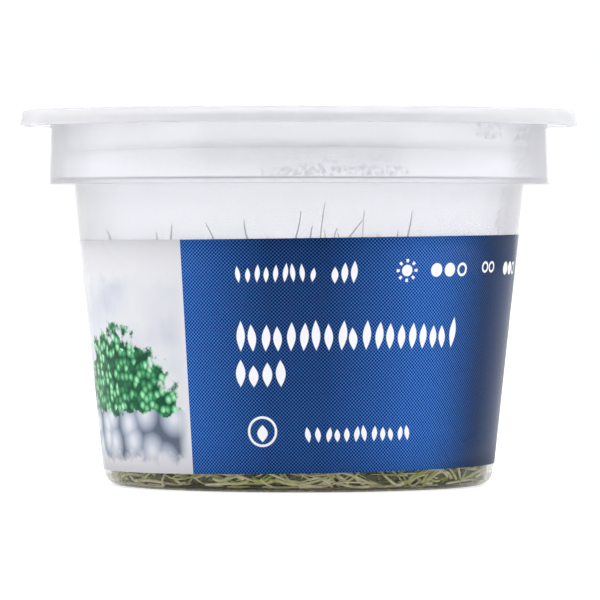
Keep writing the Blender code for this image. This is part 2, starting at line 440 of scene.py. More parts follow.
def buildLid():
    skirtTop = lid["radius"] - lid["skirtTaper"]
    skirtInner = cup["flangeRadius"] + lid["skirtClearance"]
    plugOuter = cup["collarRadius"] - cup["collarTaper"] - cup["wall"] - lid["plugClearance"]
    plugInner = plugOuter - lid["wall"]
    panelBottom = lid["panelTop"] - lid["wall"]
    underRim = lid["top"] - lid["wall"]
    crown = [
        (plugInner * i / lid["crownSteps"], lid["panelCrown"] * (1 - (i / lid["crownSteps"]) ** 2))
        for i in range(lid["crownSteps"])
    ]
    corners = [(r, lid["panelTop"] + rise, 0) for r, rise in crown]
    corners += [
        (plugInner, lid["panelTop"], 1.5 * mm),
        (plugInner, lid["top"], 0.4 * mm),
        (skirtTop, lid["top"], 0.4 * mm),
        (lid["radius"], lid["skirtBottom"], 0.2 * mm),
        (lid["beadRadius"], lid["skirtBottom"], 0.12 * mm),
        (lid["beadRadius"], lid["skirtBottom"] + lid["beadHeight"], 0.1 * mm),
        (skirtInner, cup["top"] - cup["flangeThickness"], 0.2 * mm),
        (skirtInner, underRim, 0.2 * mm),
        (plugOuter, underRim, 0.3 * mm),
        (plugOuter, panelBottom, 2.2 * mm),
    ]
    corners += [(r, lid["panelTop"] - lid["panelWall"] + rise, 0) for r, rise in reversed(crown)]
    material = moulded("frosted polypropylene of the lid", plastic["lid"])
    piece = addPiece("pressLid", turned(corners, cup["steps"]), material)
    piece.data.materials.append(moulded("moulded polypropylene of the lid's panel", plastic["panel"]))
    for face in piece.data.polygons:
        if math.hypot(face.center.x, face.center.y) < lid["window"] * plugInner:
            face.material_index = 1
    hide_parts("lid")


# Label: one strip of film. Its print is laid out in millimetres: along the wall from the middle of the
# front, and up from the foot.
label = {
    "bottom": 3.25 * mm,
    "top": 42.2 * mm,
    "skew": 0.5 * mm,  # stuck on a little crooked
    "halfAngle": math.radians(166.15),
    "printRadius": 35.5,  # turns an angle into millimetres of print
    "lift": 0.04 * mm,
    "thickness": 0.1 * mm,
    "steps": (180, 6),
    "blue": "#001659",
    "paleBlue": "#3A73BF",
    # painted sheen: to either side of the middle the blue is lighter by this strength
    "paintedSheenStrength": 1.2,
    "paintedShadeMiddle": (-12.5, 12.0, 7.5),  # left, right and softness of the painted shade, a darker blue, at the front
    "paintedShadeHeights": (4.0, 42.0, 0.68, 0.45),  # painted shade in the middle: height from and to, strength there
    "paintedShadeEnds": (22.5, 38.5, 0.23),  # from, to and how far the blue darkens towards both ends, as painted shade
    "gloss": 0.05,
    "sheen": (0.22, 0.32),
    "waves": 12 * mm,
    "waveHeight": 0.05 * mm,
    "cloud": 6 * mm,
    "backColours": ((0.3, "#E9E9EC"), (0.7, "#F4F4F6")),
    "ink": "#F0F0F4",
    "screen": 0.3,  # side of a square of the printed screen
    "white": "#D5D5DA",
    "panel": (-74.4, -19.6),
    "cutEdge": 0.04,
    "garden": {
        "frame": (-56.0, -21.2, 6.0, 35.4),  # left, right, bottom, top
        "mist": 11.0,
        "mistColours": ((0.3, "#BFC3CE"), (0.52, "#CED0D7"), (0.7, "#D5D5DA")),
        "ragged": 2.4,
        "raggedness": 0.12,
        "hummock": ((-38.0, 9.0, 0.0), (17.5, 18.5, 1.0)),  # its middle and its reach
        "leaf": 1.25,
        "leafColours": ((0.0, "#1B4A35"), (0.22, "#3A8A5A"), (0.7, "#A0DDB0")),
        "pebble": 5.2,
        "pebbleColours": ((0.1, "#D0D3DA"), (0.42, "#A0A8B8"), (0.68, "#5C6577")),
        "bedTop": 13.4,
    },
    "inkEdge": 0.06,
    "rowEdge": 0.02,
    "shortLeaf": 0.72,
    "leafRows": (  # left, right, bottom, top, leaves, width within its place, lean
        (-10.4, 2.9, 34.9, 38.2, 9, 0.3, 0.5),
        (5.0, 9.6, 34.6, 38.5, 3, 0.38, 0.2),
        (-10.7, 29.1, 23.5, 28.9, 19, 0.36, 0.4),
        (-11.0, -1.8, 17.6, 22.4, 4, 0.38, 0.3),
        (-7.6, -4.9, 8.5, 12.1, 1, 0.36, 0.0),
        (1.0, 20.7, 8.3, 11.2, 12, 0.32, 0.6),
    ),
    "dotRows": (  # left, right, middle, dots, radius, bore, first open dot
        (22.3, 30.8, 36.6, 3, 1.14, 0.72, 2),
        (42.4, 50.1, 36.6, 3, 1.10, 0.70, 2),
        (34.6, 38.8, 36.9, 2, 0.95, 0.60, 0),
        (-9.2, -3.3, 10.3, 1, 2.55, 2.15, 0),
    ),
    "sun": (18.0, 36.6, 0.95, 0.4, 1.9, 8),  # along, up, radius, gap, reach of its rays, rays
}


def within(tree, value, low, high, soft):  # 1 between low and high, with edges as soft as the ink's
    rise = addNode(tree, "MapRange", None, {
        "Value": value, "From Min": low - soft, "From Max": low + soft,
    })
    fall = addNode(tree, "MapRange", None, {
        "Value": value, "From Min": high + soft, "From Max": high - soft,
    })
    return addNode(tree, "Math", {"operation": "MULTIPLY"}, {0: rise, 1: fall})


def disc(tree, away, radius):  # 1 nearer than the radius
    return addNode(tree, "MapRange", None, {
        "Value": away, "From Min": radius + label["inkEdge"], "From Max": radius - label["inkEdge"],
    })


def placesAlong(tree, along, left, right, count):
    # Splits a stretch of the print into equal places: which place, and how far across it (-0.5 to 0.5).
    scaled = addNode(tree, "MapRange", {"clamp": False}, {
        "Value": along, "From Min": left, "From Max": right, "To Max": count,
    })
    number = addNode(tree, "Math", {"operation": "FLOOR"}, {0: scaled})
    across = addNode(tree, "Math", {"operation": "FRACT"}, {0: scaled})
    return number, addNode(tree, "Math", {"operation": "SUBTRACT"}, {0: across, 1: 0.5})


def leafRow(tree, along, up, row):  # upright leaves side by side, each with its own height and lean
    left, right, bottom, top, count, width, lean = row
    number, across = placesAlong(tree, along, left, right, count)
    key = addNode(tree, "CombineXYZ", None, {"X": number, "Y": bottom})
    chance = addNode(tree, "TexWhiteNoise", {"noise_dimensions": "2D"}, {"Vector": key})
    shares = addNode(tree, "SeparateColor", None, {"Color": chance.outputs["Color"]})
    height = addNode(tree, "MapRange", None, {
        "Value": shares.outputs["Red"],
        "To Min": label["shortLeaf"] * (top - bottom), "To Max": top - bottom,
    })
    rise = addNode(tree, "Math", {"operation": "SUBTRACT"}, {0: up, 1: bottom})
    share = addNode(tree, "Math", {"operation": "DIVIDE", "use_clamp": True}, {0: rise, 1: height})
    tilt = addNode(tree, "MapRange", None, {
        "Value": shares.outputs["Green"], "To Min": -0.5 * lean, "To Max": 0.5 * lean,
    })
    middle = addNode(tree, "Math", {"operation": "MULTIPLY"}, {0: tilt, 1: share})
    offset = addNode(tree, "Math", {"operation": "SUBTRACT"}, {0: across, 1: middle})
    away = addNode(tree, "Math", {"operation": "ABSOLUTE"}, {0: offset})
    turn = addNode(tree, "Math", {"operation": "MULTIPLY"}, {0: share, 1: math.pi})
    belly = addNode(tree, "Math", {"operation": "SINE"}, {0: turn})
    half = addNode(tree, "Math", {"operation": "MULTIPLY"}, {0: belly, 1: width})
    inside = addNode(tree, "Math", {"operation": "SUBTRACT"}, {0: half, 1: away})
    ink = addNode(tree, "MapRange", None, {"Value": inside, "From Max": 0.05})
    stretch = within(tree, along, left, right, label["rowEdge"])
    return addNode(tree, "Math", {"operation": "MULTIPLY"}, {0: ink, 1: stretch})


def dotRow(tree, along, up, row):  # round dots side by side, the last ones open
    left, right, middle, count, radius, bore, firstOpen = row
    number, across = placesAlong(tree, along, left, right, count)
    sideways = addNode(tree, "Math", {"operation": "MULTIPLY"}, {0: across, 1: (right - left) / count})
    point = addNode(tree, "CombineXYZ", None, {"X": sideways, "Y": up})
    away = addNode(tree, "VectorMath", {"operation": "DISTANCE"}, {0: point, 1: (0.0, middle, 0.0)})
    isOpen = addNode(tree, "Math", {"operation": "GREATER_THAN"}, {0: number, 1: firstOpen - 0.5})
    bored = addNode(tree, "Math", {"operation": "MULTIPLY"}, {
        0: disc(tree, away.outputs["Value"], bore), 1: isOpen,
    })
    ink = addNode(tree, "Math", {"operation": "SUBTRACT"}, {
        0: disc(tree, away.outputs["Value"], radius), 1: bored,
    })
    stretch = within(tree, along, left, right, label["rowEdge"])
    return addNode(tree, "Math", {"operation": "MULTIPLY"}, {0: ink, 1: stretch})


def sunMark(tree, along, up):  # a small disc with rays
    x, y, radius, gap, reach, count = label["sun"]
    sideways = addNode(tree, "Math", {"operation": "SUBTRACT"}, {0: along, 1: x})
    upwards = addNode(tree, "Math", {"operation": "SUBTRACT"}, {0: up, 1: y})
    point = addNode(tree, "CombineXYZ", None, {"X": sideways, "Y": upwards})
    away = addNode(tree, "VectorMath", {"operation": "LENGTH"}, {0: point})
    angle = addNode(tree, "Math", {"operation": "ARCTAN2"}, {0: upwards, 1: sideways})
    turns = addNode(tree, "Math", {"operation": "MULTIPLY"}, {0: angle, 1: count})
    spokes = addNode(tree, "Math", {"operation": "COSINE"}, {0: turns})
    rays = addNode(tree, "MapRange", None, {"Value": spokes, "From Min": 0.25, "From Max": 0.55})
    ring = within(tree, away.outputs["Value"], radius + gap, reach, 0.05)
    crown = addNode(tree, "Math", {"operation": "MULTIPLY"}, {0: rays, 1: ring})
    return addNode(tree, "Math", {"operation": "MAXIMUM"}, {
        0: crown, 1: disc(tree, away.outputs["Value"], radius),
    })


def gardenPicture(tree, along, up, flat):
    # A round leafy hummock behind a bed of smooth pebbles, in soft washes on the white film.
    garden = label["garden"]
    left, right, bottom, top = garden["frame"]
    mist = addNode(tree, "TexNoise", {"noise_dimensions": "2D"}, {
        "Vector": flat, "Scale": 1 / garden["mist"], "Detail": 3.0,
    })
    paper = paintRamp(addNode(tree, "ValToRGB", None, {"Fac": mist}), garden["mistColours"])
    wander = addNode(tree, "TexNoise", {"noise_dimensions": "2D"}, {
        "Vector": flat, "Scale": 1 / garden["ragged"], "Detail": 3.0, "Roughness": 0.6,
    })
    ragged = addNode(tree, "MapRange", None, {
        "Value": wander, "From Min": 0.3, "From Max": 0.7,
        "To Min": -garden["raggedness"], "To Max": garden["raggedness"],
    })

    middle, extent = garden["hummock"]
    hummock = addNode(tree, "Mapping", {"vector_type": "TEXTURE"}, {
        "Vector": flat, "Location": middle, "Scale": extent,
    })
    reach = addNode(tree, "VectorMath", {"operation": "LENGTH"}, {0: hummock})
    edge = addNode(tree, "Math", {"operation": "ADD"}, {0: reach.outputs["Value"], 1: ragged})
    leafy = addNode(tree, "MapRange", None, {"Value": edge, "From Min": 1.0, "From Max": 0.92})
    leaves = addNode(tree, "TexVoronoi", {"voronoi_dimensions": "2D"}, {
        "Vector": flat, "Scale": 1 / garden["leaf"],
    })
    leafShade = addNode(tree, "MapRange", None, {
        "Value": leaves.outputs["Distance"], "From Max": 0.75, "To Min": 1.0, "To Max": 0.0,
    })
    leafTone = addNode(tree, "SeparateColor", None, {"Color": leaves.outputs["Color"]})
    leafMix = addNode(tree, "Math", {"operation": "MULTIPLY"}, {0: leafShade, 1: leafTone.outputs["Red"]})
    green = paintRamp(addNode(tree, "ValToRGB", None, {"Fac": leafMix}), garden["leafColours"])

    stones = addNode(tree, "TexVoronoi", {"voronoi_dimensions": "2D"}, {
        "Vector": flat, "Scale": 1 / garden["pebble"], "Randomness": 0.75,
    })
    stone = paintRamp(
        addNode(tree, "ValToRGB", None, {"Fac": stones.outputs["Distance"]}),
        garden["pebbleColours"],
    )
    bedTop = addNode(tree, "Math", {"operation": "MULTIPLY_ADD"}, {0: ragged, 1: 8.0, 2: up})
    bed = addNode(tree, "MapRange", None, {
        "Value": bedTop, "From Min": garden["bedTop"], "From Max": garden["bedTop"] - 0.5,
    })
    behind = addNode(tree, "Mix", colourMix, {0: leafy, 6: paper, 7: green})
    scenery = addNode(tree, "Mix", colourMix, {0: bed, 6: behind.outputs[2], 7: stone})
    shown = addNode(tree, "Math", {"operation": "MULTIPLY"}, {
        0: within(tree, along, left, right, 1.2), 1: within(tree, bedTop, bottom, top, 1.0),
    })
    return scenery.outputs[2], shown


def printedFilm():
    # Printed polypropylene film: satin, with the fine diagonal screen of its printed blue, and painted
    # sheen and painted shade laid into the blue.
    material, tree = newMaterial("printed film")
    flat = addNode(tree, "UVMap", {"uv_map": "print"})
    parts = addNode(tree, "SeparateXYZ", None, {"Vector": flat})
    along, up = parts.outputs["X"], parts.outputs["Y"]

    check = addNode(tree, "TexChecker", None, {
        "Vector": flat, "Scale": 1 / label["screen"],
        "Color1": linear(label["blue"]), "Color2": linear(label["paleBlue"]),
    })
    # The strength of the blue is painted light: painted sheen to either side of the front, painted shade
    # in the middle that deepens upwards, and painted shade towards both ends.
    low, high, lowStrength, highStrength = label["paintedShadeHeights"]
    darker = addNode(tree, "MapRange", None, {
        "Value": up, "From Min": low, "From Max": high, "To Min": lowStrength, "To Max": highStrength,
    })
    depth = addNode(tree, "Mix", None, {
        0: within(tree, along, *label["paintedShadeMiddle"]), 2: label["paintedSheenStrength"], 3: darker,
    })
    near, far, faintest = label["paintedShadeEnds"]
    aside = addNode(tree, "Math", {"operation": "ABSOLUTE"}, {0: along})
    end = addNode(tree, "MapRange", {"interpolation_type": "SMOOTHSTEP"}, {
        "Value": aside, "From Min": near, "From Max": far, "To Min": 1.0, "To Max": faintest,
    })
    strength = addNode(tree, "Math", {"operation": "MULTIPLY"}, {0: depth, 1: end})
    blue = addNode(tree, "VectorMath", {"operation": "SCALE"}, {0: check, "Scale": strength})
    scenery, shown = gardenPicture(tree, along, up, flat)
    panel = addNode(tree, "Mix", colourMix, {0: shown, 6: linear(label["white"]), 7: scenery})
    panelSide = within(tree, along, *label["panel"], label["cutEdge"])
    ground = addNode(tree, "Mix", colourMix, {0: panelSide, 6: blue, 7: panel.outputs[2]})
    ink = sunMark(tree, along, up)
    marks = [leafRow(tree, along, up, row) for row in label["leafRows"]]
    marks += [dotRow(tree, along, up, row) for row in label["dotRows"]]
    for mark in marks:
        ink = addNode(tree, "Math", {"operation": "MAXIMUM"}, {0: ink, 1: mark})
    printed = addNode(tree, "Mix", colourMix, {0: ink, 6: ground.outputs[2], 7: linear(label["ink"])})
    coords = addNode(tree, "TexCoord")
    waves = addNode(tree, "TexNoise", None, {
        "Vector": coords.outputs["Object"], "Scale": 1 / label["waves"], "Detail": 1.0,
    })
    bump = addNode(tree, "Bump", None, {
        "Height": waves, "Strength": 0.1, "Distance": label["waveHeight"],
    })
    smooth, dull = label["sheen"]
    sheen = addNode(tree, "MapRange", None, {"Value": waves, "To Min": smooth, "To Max": dull})
    shader = addNode(tree, "BsdfPrincipled", None, {
        "Base Color": printed.outputs[2], "Roughness": sheen,
        "Specular IOR Level": label["gloss"], "Normal": bump,
    })
    return surfaced(material, shader)


def filmBack():
    # The film's unprinted side: white with a faint grey cloudiness, and matt where the glue has dried.
    material, tree = newMaterial("white back of the film")
    coords = addNode(tree, "TexCoord")
    glue = addNode(tree, "TexNoise", None, {
        "Vector": coords.outputs["Object"], "Scale": 1 / label["cloud"], "Detail": 2.0,
    })
    white = paintRamp(addNode(tree, "ValToRGB", None, {"Fac": glue}), label["backColours"])
    shader = addNode(tree, "BsdfPrincipled", None, {"Base Color": white, "Roughness": 0.55})
    return surfaced(material, shader)


def buildLabel():
    shape = bmesh.new()
    across, upwards = label["steps"]
    bmesh.ops.create_grid(shape, x_segments=across, y_segments=upwards, size=0.5)
    printing = shape.loops.layers.uv.new("print")
    for vert in shape.verts:
        angle = 2 * vert.co.x * label["halfAngle"]
        level = label["bottom"] + (vert.co.y + 0.5) * (label["top"] - label["bottom"])
        for loop in vert.link_loops:
            loop[printing].uv = (angle * label["printRadius"], level / mm)
        z = level + label["skew"] * math.sin(angle)
        vert.co = around(angle, wallRadius(z) + label["lift"] / math.cos(cup["draft"]), z)
    bmesh.ops.recalc_face_normals(shape, faces=shape.faces)
    shape.faces.ensure_lookup_table()
    first = shape.faces[0]
    if first.normal.dot(first.calc_center_median()) < 0:
        bmesh.ops.reverse_faces(shape, faces=shape.faces)
    piece = addPiece("labelStrip", shape, printedFilm())
    thick = piece.modifiers.new("film", "SOLIDIFY")
    thick.thickness = label["thickness"]
    thick.offset = 1.0
    thick.use_even_offset = True
    piece.data.materials.append(filmBack())
    thick.material_offset = 1
    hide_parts("label")


def unitStrand(sides, rings):
    # A round strand along Z from 0 to 1, with radius 1 and closed ends, to be copied and bent.
    shape = bmesh.new()
    bmesh.ops.create_cone(shape, cap_ends=True, segments=sides, radius1=1.0, radius2=1.0, depth=1.0)
    bmesh.ops.translate(shape, verts=shape.verts, vec=(0, 0, 0.5))
    rails = [edge for edge in shape.edges if abs(edge.verts[0].co.z - edge.verts[1].co.z) > 0.5]
    bmesh.ops.subdivide_edges(shape, edges=rails, cuts=rings - 2, use_grid_fill=True)
    shape.verts.layers.float.new("tone")
    shape.verts.layers.float.new("along")
    mesh = bpy.data.meshes.new("unitStrand")
    shape.to_mesh(mesh)
    shape.free()
    return mesh


def addStrand(shape, unit, path, radius, tipRadius, tone):
    # Copies the unit strand and bends it along the path, one ring of the strand at each point.
    first = len(shape.verts)
    shape.from_mesh(unit)
    shape.verts.ensure_lookup_table()
    toneLayer = shape.verts.layers.float["tone"]
    alongLayer = shape.verts.layers.float["along"]
    last = len(path) - 1
    for vert in shape.verts[first:]:
        share = vert.co.z
        i = round(share * last)
        heading = (path[min(i + 1, last)] - path[max(i - 1, 0)]).normalized()
        turn = Vector((0, 0, 1)).rotation_difference(heading)
        width = radius + (tipRadius - radius) * share ** 1.6
        vert.co = path[i] + turn @ Vector((vert.co.x * width, vert.co.y * width, 0.0))
        vert[toneLayer] = tone
        vert[alongLayer] = share


def heldIn(point, clearance):  # keeps a point of a strand inside the cup's wall
    room = innerRadius(point.z) - clearance
    reach = math.hypot(point.x, point.y)
    if reach <= room:
        return point
    return Vector((point.x * room / reach, point.y * room / reach, point.z))


def livingTissue(name, plant):
    # Wet plant tissue: a soft shine over a colour that changes along the strand and from one to the next.
    # On the grass blades the colour darkens towards the tip as painted shade.
    material, tree = newMaterial(name)
    along = addNode(tree, "Attribute", {"attribute_name": "along"})
    tone = addNode(tree, "Attribute", {"attribute_name": "tone"})
    coords = addNode(tree, "TexCoord")
    mottle = addNode(tree, "TexNoise", None, {
        "Vector": coords.outputs["Object"], "Scale": 1 / plant["streak"], "Detail": 2.0,
    })
    first, second = [
        paintRamp(addNode(tree, "ValToRGB", None, {"Fac": along.outputs["Fac"]}), colours)
        for colours in plant["colours"]
    ]
    mixed = addNode(tree, "Mix", colourMix, {0: tone.outputs["Fac"], 6: first, 7: second})
    spread = addNode(tree, "MapRange", None, {
        "Value": mottle, "From Min": 0.25, "From Max": 0.75, "To Min": 0.72, "To Max": 1.2,
    })
    shaded = addNode(tree, "VectorMath", {"operation": "SCALE"}, {0: mixed.outputs[2], "Scale": spread})
    shader = addNode(tree, "BsdfPrincipled", None, {
        "Base Color": shaded, "Roughness": plant["roughness"],
    })
    return surfaced(material, shader)


# Root mat: a packed tangle, dark partly with its own colour and partly with painted shade, with runners
# and roots lying on it, under it and against the wall.
roots = {
    "matGap": 1.0 * mm,
    "matLift": 0.5 * mm,
    "matTop": 6.0 * mm,
    "matSwell": 1.6 * mm,
    "matRings": 16,
    "matSteps": 120,
    "fibre": 1.3 * mm,
    "relief": 0.5 * mm,
    "lump": 5.0 * mm,
    "lumpSize": 0.35,  # in millimetres
    # the mat's colours: its own olive brown, darkened by painted shade deep in the tangle
    "matColoursAndShade": ((0.3, "#292A15"), (0.5, "#4D4F28"), (0.72, "#8A8856")),
    "strand": (5, 10),  # its sides and rings
    "thin": 0.14 * mm,  # radius of the finest strand
    "thick": 0.3 * mm,
    "lift": 0.15 * mm,
    "wallGap": 0.08 * mm,
    "wallLevel": 4 * mm,  # distances along the wall are measured at this height
    "wallDepth": 0.75,  # in millimetres, like the arch and the lengths
    "wallStrands": 420,
    "wallEnds": (6.4 * mm, 6.0 * mm),  # how high a strand against the wall may start and end
    "wallReach": 7.2 * mm,  # and how high it may rise between
    "wallLength": (4, 13),
    "arch": (-2.2, 2.6),
    "greening": (3 * mm, 6 * mm),  # the higher a strand lies, the greener it is
    "floorStrands": (150, 0.5 * mm, 0.1),  # strands, spread in height, greenness
    "topStrands": (110, 0.9 * mm, 0.6),
    "topLift": 0.9 * mm,
    "layerRadius": 30 * mm,
    "layerLength": (8, 20),
    "layerGap": 0.5 * mm,
    "colours": (  # from one end of a strand to the other: a pale root, and a green runner
        ((0.0, "#F6E8CE"), (0.5, "#EADCBE"), (1.0, "#CFC6A0")),
        ((0.0, "#C0CC62"), (0.5, "#9DB23A"), (1.0, "#78922B")),
    ),
    "roughness": 0.38,
    "streak": 1.6 * mm,
    "seed": 11,
}


def packedRoots():
    # Old roots in clear gel: dark olive brown, partly their own colour and partly painted shade deep in
    # the tangle, mottled with paler root ends, and wet.
    material, tree = newMaterial("packed root mat")
    coords = addNode(tree, "TexCoord")
    fibres = addNode(tree, "TexNoise", None, {
        "Vector": coords.outputs["Object"], "Scale": 1 / roots["fibre"], "Detail": 4.0, "Distortion": 1.5,
    })
    colour = paintRamp(addNode(tree, "ValToRGB", None, {"Fac": fibres}), roots["matColoursAndShade"])
    bump = addNode(tree, "Bump", None, {"Height": fibres, "Strength": 0.8, "Distance": roots["relief"]})
    shader = addNode(tree, "BsdfPrincipled", None, {
        "Base Color": colour, "Roughness": 0.45, "Normal": bump,
    })
    return surfaced(material, shader)


def buildRootMat():
    top, gap = roots["matTop"], roots["matGap"]
    side = innerRadius(top) - gap
    foot = cup["floorTop"] + roots["matLift"]
    rings = roots["matRings"]
    corners = [(side * i / rings, top, 0) for i in range(rings)]
    corners += [(side, top, 1.0 * mm), (innerRadius(foot + 2 * mm) - gap, foot, 1.6 * mm)]
    corners += [(side * i / rings, foot, 0) for i in range(rings - 2, -1, -2)]
    shape = turned(corners, roots["matSteps"])
    for vert in shape.verts:
        rise = min(max((vert.co.z - foot) / (top - foot), 0.0), 1.0)
        lump = noise.noise(vert.co / roots["lump"]) + 0.5 * noise.noise(vert.co / (0.35 * roots["lump"]))
        vert.co.z += roots["matSwell"] * rise ** 3 * (0.45 + 0.5 * lump)
        vert.co += Vector((vert.co.x, vert.co.y, 0.0)).normalized() * lump * roots["lumpSize"] * mm
    piece = addPiece("rootMat", shape, packedRoots())
    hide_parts("root_mat")


def wallPoint(along, z, depth):
    # A point against the inner wall: along it, up, and in from it.
    return around(along / innerRadius(roots["wallLevel"]), innerRadius(z) - depth, z)


def buildRunners():
    rng = random.Random(roots["seed"])
    sides, rings = roots["strand"]
    unit = unitStrand(sides, rings)
    shape = bmesh.new()
    low = cup["floorTop"] + roots["lift"]
    startTop, endTop = roots["wallEnds"]
    brown, change = roots["greening"]
    for i in range(roots["wallStrands"]):
        radius = rng.uniform(roots["thin"], roots["thick"])
        start = rng.uniform(0, 2 * math.pi) * innerRadius(roots["wallLevel"])
        length = rng.uniform(*roots["wallLength"]) * mm * rng.choice((-1, 1))
        first, second = rng.uniform(low + radius, startTop), rng.uniform(low + radius, endTop)
        arch = rng.uniform(*roots["arch"]) * mm
        deep = radius + roots["wallGap"] + rng.uniform(0, roots["wallDepth"]) * mm
        knots = [
            Vector((start, first, deep)),
            Vector((start + 0.3 * length, first + arch, deep + rng.uniform(-0.3, 0.5) * mm)),
            Vector((start + 0.7 * length, second + arch, deep + rng.uniform(-0.3, 0.5) * mm)),
            Vector((start + length, second, deep + rng.uniform(0, 0.9) * mm)),
        ]
        path = []
        for along, z, depth in interpolate_bezier(*knots, rings):
            held = min(max(z, low + radius), roots["wallReach"])
            path.append(wallPoint(along, held, max(depth, radius + roots["wallGap"])))
        green = min(max((first + second - brown) / change + rng.uniform(-0.5, 0.4), 0.0), 1.0)
        addStrand(shape, unit, path, radius, 0.75 * radius, green)
    levels = low, roots["matTop"] + roots["topLift"]
    for level, (count, spread, green) in zip(levels, (roots["floorStrands"], roots["topStrands"])):
        for i in range(count):
            radius = rng.uniform(roots["thin"], roots["thick"])
            turn = rng.uniform(0, 2 * math.pi)
            start = around(turn, roots["layerRadius"] * math.sqrt(rng.random()), level + radius)
            heading = rng.uniform(0, 2 * math.pi)
            length = rng.uniform(*roots["layerLength"]) * mm
            points = [start]
            for share in (0.33, 0.67, 1.0):
                aim = heading + rng.uniform(-0.7, 0.7)
                step = Vector((math.cos(aim), math.sin(aim), 0.0)) * length * share
                points.append(start + step + Vector((0, 0, rng.uniform(0, spread))))
            curve = interpolate_bezier(*points, rings)
            path = [heldIn(point, radius + roots["layerGap"]) for point in curve]
            addStrand(shape, unit, path, radius, 0.7 * radius, green + rng.uniform(-0.1, 0.3))
    addPiece("runners", shape, livingTissue("roots and runners", roots))


# Grass: plantlets of fine round blades. Those at the front have a few blades that stand above the label.
grass = {
    "rings": ((0, 1), (13.0 * mm, 6), (26.3 * mm, 12)),  # radius, tufts
    "blade": (4, 9),  # its sides and rings
    "blades": 64,
    "wallBlades": 9,  # of each outer tuft, pressed against the wall
    "foot": 5.6 * mm,
    "crown": 1.5 * mm,
    "spread": 6.0 * mm,
    "bow": 0.35,
    "wallBow": 0.3,
    "knots": ((0.38, 0.12, 1.0), (0.78, 0.62, 0.6)),  # shares of a blade's rise, reach and bow
    "width": 0.21 * mm,
    "widths": (0.7, 1.1),
    "tallWidth": 0.16 * mm,
    "tipWidth": 0.06 * mm,
    "tallFoot": innerRadius(30 * mm) - 3.0 * mm,  # radius at which the tall blades stand
    "tipClearance": 0.12 * mm,
    "tipLean": 0.22 * mm,  # a tall blade leans forward, so its tip is the nearest to the wall
    "clearance": 0.45 * mm,
    "hiddenTip": 41.3 * mm,  # the label hides blades up to here
    "footSpread": 1.2,  # in millimetres
    "wallSpread": 11,  # degrees to either side of its tuft
    "tipSpread": 15.0,
    "colours": (  # from foot to tip, of the darkest and of the palest blades; the darkening towards the tip is painted shade
        ((0.0, "#A7AE6B"), (0.25, "#6F8F3C"), (0.7, "#45692D"), (1.0, "#2B3D22")),
        ((0.0, "#CDD09A"), (0.25, "#A3C05C"), (0.8, "#7FA94B"), (1.0, "#858D4E")),
    ),
    "roughness": 0.42,
    "streak": 2.5 * mm,
    "seed": 5,
    "labelEdge": 42.4 * mm,
    "tips": (  # angle at the label's edge, halfway and at the tip, height of the tip, thickness
        (-59.2, -59.6, -60.6, 43.7, 1.3), (-39.8, -39.9, -40.0, 43.1, 0.8),
        (-35.2, -34.8, -34.6, 44.5, 1.1), (-22.7, -23.6, -24.6, 44.8, 0.9),
        (-13.4, -14.2, -14.0, 45.2, 1.2), (-0.7, 0.3, 0.6, 46.7, 1.0), (3.0, 3.2, 3.5, 44.2, 0.9),
        (5.6, 6.0, 6.7, 48.2, 0.7), (7.0, 6.8, 6.5, 43.5, 0.5), (9.2, 9.4, 9.9, 43.9, 0.7),
        (10.4, 10.3, 10.0, 43.2, 0.6), (13.1, 14.9, 16.6, 45.3, 0.9), (16.7, 16.7, 16.9, 46.8, 0.5),
        (26.5, 26.3, 26.5, 43.4, 0.9), (29.3, 30.2, 30.3, 46.7, 1.1), (86.0, 87.0, 88.0, 43.9, 1.0),
        (-8.0, -8.2, -8.6, 42.9, 0.5), (21.0, 20.9, 20.6, 43.0, 0.5), (48.0, 48.2, 48.8, 42.9, 0.5),
    ),
}


def growBlade(shape, unit, start, tip, bow, width, tone):
    rise = Vector((0, 0, tip.z - start.z))
    out = Vector((tip.x - start.x, tip.y - start.y, 0.0))
    side = Vector((-out.y, out.x, 0.0)) * bow
    low, high = [start + up * rise + away * out + bent * side for up, away, bent in grass["knots"]]
    curve = interpolate_bezier(start, low, high, tip, grass["blade"][1])
    path = [heldIn(point, grass["clearance"]) for point in curve]
    addStrand(shape, unit, path, width, grass["tipWidth"], tone)


def growTallBlade(shape, unit, row):
    # Against the wall from its foot to the label's top edge, and then freely bent up to its tip.
    edgeTurn, midTurn, tipTurn, height, weight = row
    edge, reach = grass["labelEdge"], height * mm - grass["labelEdge"]
    path = [around(math.radians(edgeTurn), grass["tallFoot"], grass["foot"])]
    places = [(edgeTurn, share * edge) for share in (0.45, 0.8, 1.0)]
    for share in (0.2, 0.4, 0.6, 0.8, 1.0):
        early, late = (1 - share) * edgeTurn + share * midTurn, (1 - share) * midTurn + share * tipTurn
        places.append(((1 - share) * early + share * late, edge + share * reach))
    for i, (turn, z) in enumerate(places, 1 - len(places)):
        straightBack = Vector((0, -i * grass["tipLean"], 0))
        path.append(around(math.radians(turn), innerRadius(z) - grass["tipClearance"], z) + straightBack)
    # The tall blades take the darkest colours, dark towards the tip as painted shade.
    addStrand(shape, unit, path, grass["tallWidth"] * weight, grass["tipWidth"], 0.1)


